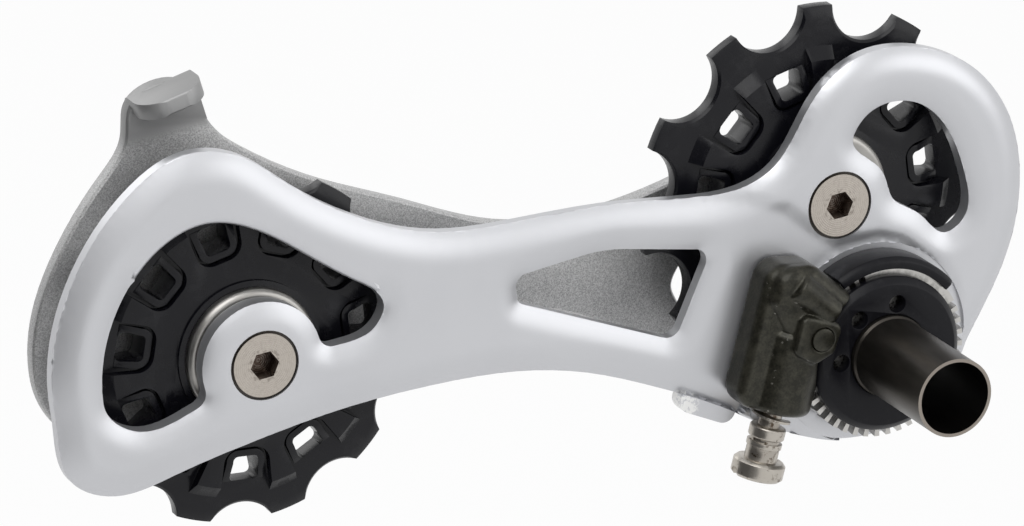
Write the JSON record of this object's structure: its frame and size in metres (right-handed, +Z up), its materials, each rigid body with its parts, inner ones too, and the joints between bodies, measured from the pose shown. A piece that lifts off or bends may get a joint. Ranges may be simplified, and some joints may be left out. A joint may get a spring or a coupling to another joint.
{
  "type": "rear derailleur cage",
  "caption": "Rear derailleur cage: windowed cast outer plate, sheet inner plate, two toothed jockey wheels, pivot sleeve and a worm-set spring ring.",
  "frame": {"origin": "on the cage pivot axis, at the level of the outer plate's flat land round the pulley bolts", "axes": "+X from the tension pulley towards the guide pulley, parallel to the line of their axes; +Z up in the plane of the plates, to the tab's side; -Y to the outer side, along the pivot sleeve"},
  "size_m": [0.1216, 0.0336, 0.0623],
  "materials": {
    "plate_silver": "satin silver paint over the casting",
    "plate_blasted": "blasted, grainy",
    "pulley_black": "moulded, slightly glossy",
    "bolt_steel": "turned, satin nickel",
    "bush_steel": "ground",
    "cap_steel": "pressed, satin",
    "sleeve_blackened": "blackened, bare at its rim",
    "flange_black": "satin black",
    "ring_steel": "bare",
    "guard_black": "satin black",
    "housing_phosphate": "dark phosphated casting",
    "screw_steel": "worn bare steel, dirt in its grooves"
  },
  "bodies": {
    "cage": {"outer_plate": "plate_silver", "inner_plate": "plate_blasted", "guide_bolt": "bolt_steel", "tension_bolt": "bolt_steel", "guide_bush": "bush_steel", "tension_bush": "bush_steel", "guide_cap_outer": "cap_steel", "guide_cap_inner": "cap_steel", "tension_cap_outer": "cap_steel", "tension_cap_inner": "cap_steel", "pivot_sleeve": "sleeve_blackened", "thrust_washer": "bush_steel", "ring_guard": "guard_black", "worm_housing": "housing_phosphate", "ear_pin": "housing_phosphate", "housing_rivets": "bush_steel"},
    "guide_wheel": {"guide_pulley": "pulley_black"},
    "tension_wheel": {"tension_pulley": "pulley_black"},
    "spring_ring": {"toothed_ring": "ring_steel", "spring_flange": "flange_black"},
    "adjuster_screw": {"worm_screw": "screw_steel"}
  },
  "joints": [
    {"name": "guide_wheel_spin", "type": "hinge", "parent": "cage", "child": "guide_wheel", "pos_m": [-0.0023, 0.00715, 0.018], "axis": [0, -1, 0], "continuous": true},
    {"name": "tension_wheel_spin", "type": "hinge", "parent": "cage", "child": "tension_wheel", "pos_m": [-0.0748, 0.00715, 0.018], "axis": [0, -1, 0], "continuous": true},
    {"name": "adjuster_screw_turn", "type": "hinge", "parent": "cage", "child": "adjuster_screw", "pos_m": [-0.01107, -0.0017, 0.00436], "axis": [0.3665, 0, 0.9304], "range_deg": [-1100.5, 1100.5]},
    {"name": "spring_ring_turn", "type": "hinge", "parent": "cage", "child": "spring_ring", "pos_m": [0, -0.0017, 0], "axis": [0, -1, 0], "range_deg": [-25, 25]}
  ],
  "couplings": [
    {"joint": "adjuster_screw_turn", "follows": "spring_ring_turn", "ratio": -44}
  ]
}
